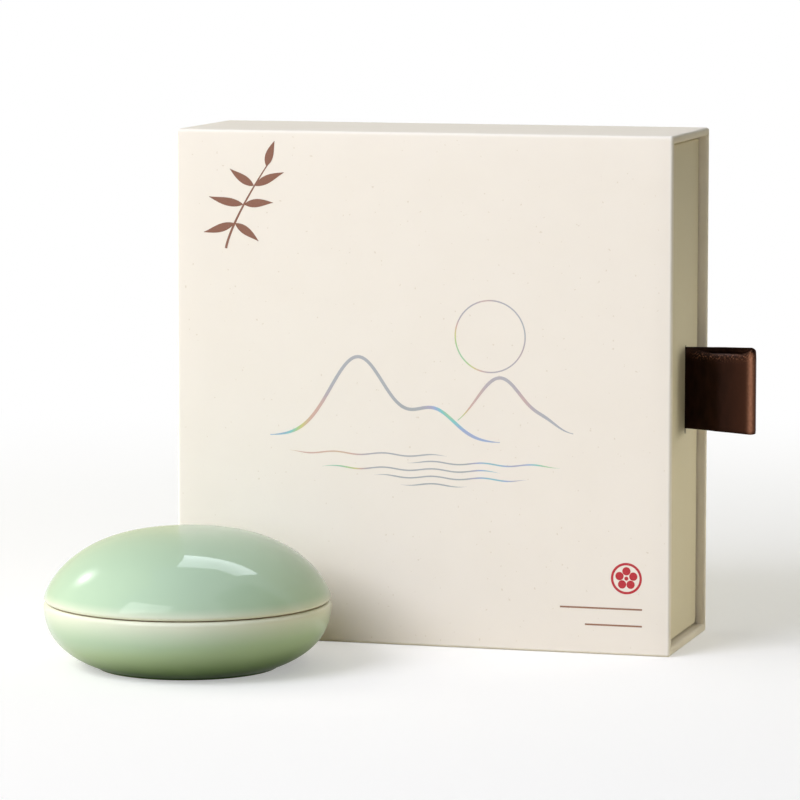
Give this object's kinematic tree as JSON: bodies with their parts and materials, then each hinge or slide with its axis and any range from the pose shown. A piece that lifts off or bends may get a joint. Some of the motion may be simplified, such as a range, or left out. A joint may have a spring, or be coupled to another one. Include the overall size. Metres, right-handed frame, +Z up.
{
  "type": "seal paste box",
  "caption": "Round lidded celadon pot of red seal paste, standing beside the rigid paper case whose ribbon-pulled drawer keeps it.",
  "frame": {"origin": "middle of the case's underside, on the surface that case and pot stand on", "axes": "+X the way the drawer slides out, -Y out of the case's large front face, towards the pot, +Z up"},
  "size_m": [0.1903, 0.141, 0.151],
  "materials": {
    "greyboard": "matt grey board",
    "cover_paper": "matt cream art paper",
    "lining_paper": "matt tan paper",
    "drawer_paper": "matt tan paper",
    "satin_ribbon": "brown satin",
    "insert_foam": "closed cell foam",
    "face_card": "cream card",
    "celadon_glaze": "glossy pale green",
    "seal_paste": "oily vermilion"
  },
  "bodies": {
    "case": {"sleeve_front_board": "greyboard", "sleeve_back_board": "greyboard", "sleeve_top_board": "greyboard", "sleeve_bottom_board": "greyboard", "sleeve_end_board": "greyboard", "sleeve_wrap_paper": "cover_paper", "sleeve_base_paper": "cover_paper", "sleeve_lining_paper": "lining_paper"},
    "drawer": {"drawer_floor_board": "greyboard", "drawer_pull_board": "greyboard", "drawer_far_board": "greyboard", "drawer_upper_board": "greyboard", "drawer_lower_board": "greyboard", "drawer_wrap_paper": "drawer_paper", "drawer_lining_paper": "drawer_paper", "pull_ribbon": "satin_ribbon", "insert_foam": "insert_foam", "insert_face_card": "face_card", "recess_pad": "insert_foam"},
    "pot": {"pot_base": "celadon_glaze", "seal_paste": "seal_paste"},
    "lid": {"pot_lid": "celadon_glaze"}
  },
  "joints": [
    {"name": "drawer_slide", "type": "slide", "parent": "case", "child": "drawer", "axis": [1, 0, 0], "range_m": [0, 0.148]},
    {"name": "pot_lift", "type": "slide", "parent": "case", "child": "pot", "axis": [0, 0, 1], "range_m": [0, 0.165]},
    {"name": "lid_lift", "type": "slide", "parent": "pot", "child": "lid", "axis": [0, 0, 1], "range_m": [0, 0.06]}
  ]
}
